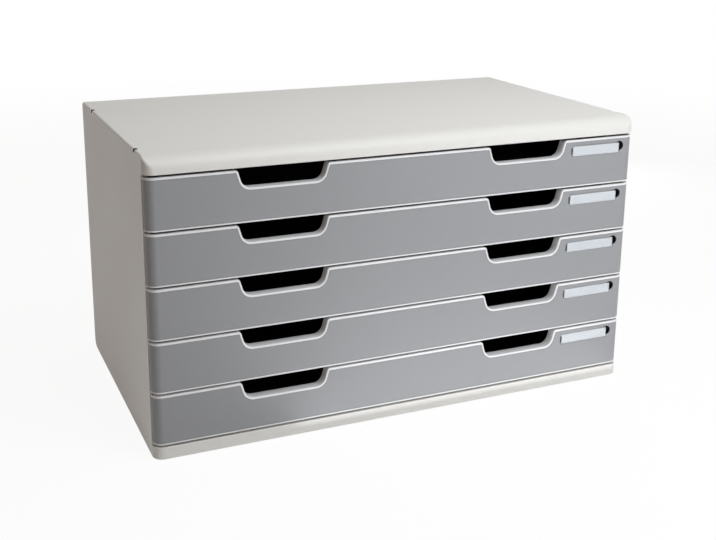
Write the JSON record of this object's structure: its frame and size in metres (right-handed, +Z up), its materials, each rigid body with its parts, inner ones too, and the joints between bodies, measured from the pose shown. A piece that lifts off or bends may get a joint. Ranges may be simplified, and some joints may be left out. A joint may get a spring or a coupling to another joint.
{
  "type": "desktop file drawer",
  "caption": "Wide desktop casing of moulded plastic whose shallow drawers slide out for large papers; each front has hand-holds and a label.",
  "frame": {"origin": "middle of the footprint, on the surface that the unit stands on", "axes": "+X to the right along the drawer fronts, +Y from the fronts to the back, +Z up"},
  "size_m": [0.574, 0.33, 0.32],
  "materials": {
    "casing_plastic": "satin moulded",
    "bezel_plastic": "satin moulded",
    "front_plastic": "satin moulded",
    "tray_plastic": "fine textured",
    "label_paper": "uncoated card",
    "clear_plastic": "clear",
    "foot_rubber": "matte"
  },
  "bodies": {
    "casing": {"top_cover": "casing_plastic", "base": "casing_plastic", "side_panel_left": "casing_plastic", "side_panel_right": "casing_plastic", "back_panel": "casing_plastic", "foot_pad_front_left": "foot_rubber", "foot_pad_front_right": "foot_rubber", "foot_pad_back_left": "foot_rubber", "foot_pad_back_right": "foot_rubber"},
    "drawer_1": {"drawer_floor_1": "tray_plastic", "drawer_back_1": "tray_plastic", "drawer_rail_left_1": "tray_plastic", "drawer_rail_right_1": "tray_plastic", "drawer_bezel_1": "bezel_plastic", "drawer_front_1": "front_plastic", "label_card_1": "label_paper", "label_window_1": "clear_plastic"},
    "drawer_2": {"drawer_floor_2": "tray_plastic", "drawer_back_2": "tray_plastic", "drawer_rail_left_2": "tray_plastic", "drawer_rail_right_2": "tray_plastic", "drawer_bezel_2": "bezel_plastic", "drawer_front_2": "front_plastic", "label_card_2": "label_paper", "label_window_2": "clear_plastic"},
    "drawer_3": {"drawer_floor_3": "tray_plastic", "drawer_back_3": "tray_plastic", "drawer_rail_left_3": "tray_plastic", "drawer_rail_right_3": "tray_plastic", "drawer_bezel_3": "bezel_plastic", "drawer_front_3": "front_plastic", "label_card_3": "label_paper", "label_window_3": "clear_plastic"},
    "drawer_4": {"drawer_floor_4": "tray_plastic", "drawer_back_4": "tray_plastic", "drawer_rail_left_4": "tray_plastic", "drawer_rail_right_4": "tray_plastic", "drawer_bezel_4": "bezel_plastic", "drawer_front_4": "front_plastic", "label_card_4": "label_paper", "label_window_4": "clear_plastic"},
    "drawer_5": {"drawer_floor_5": "tray_plastic", "drawer_back_5": "tray_plastic", "drawer_rail_left_5": "tray_plastic", "drawer_rail_right_5": "tray_plastic", "drawer_bezel_5": "bezel_plastic", "drawer_front_5": "front_plastic", "label_card_5": "label_paper", "label_window_5": "clear_plastic"}
  },
  "joints": [
    {"name": "drawer_1_slide", "type": "slide", "parent": "casing", "child": "drawer_1", "axis": [0, -1, 0], "range_m": [0, 0.232]},
    {"name": "drawer_2_slide", "type": "slide", "parent": "casing", "child": "drawer_2", "axis": [0, -1, 0], "range_m": [0, 0.232]},
    {"name": "drawer_3_slide", "type": "slide", "parent": "casing", "child": "drawer_3", "axis": [0, -1, 0], "range_m": [0, 0.232]},
    {"name": "drawer_4_slide", "type": "slide", "parent": "casing", "child": "drawer_4", "axis": [0, -1, 0], "range_m": [0, 0.232]},
    {"name": "drawer_5_slide", "type": "slide", "parent": "casing", "child": "drawer_5", "axis": [0, -1, 0], "range_m": [0, 0.232]}
  ]
}
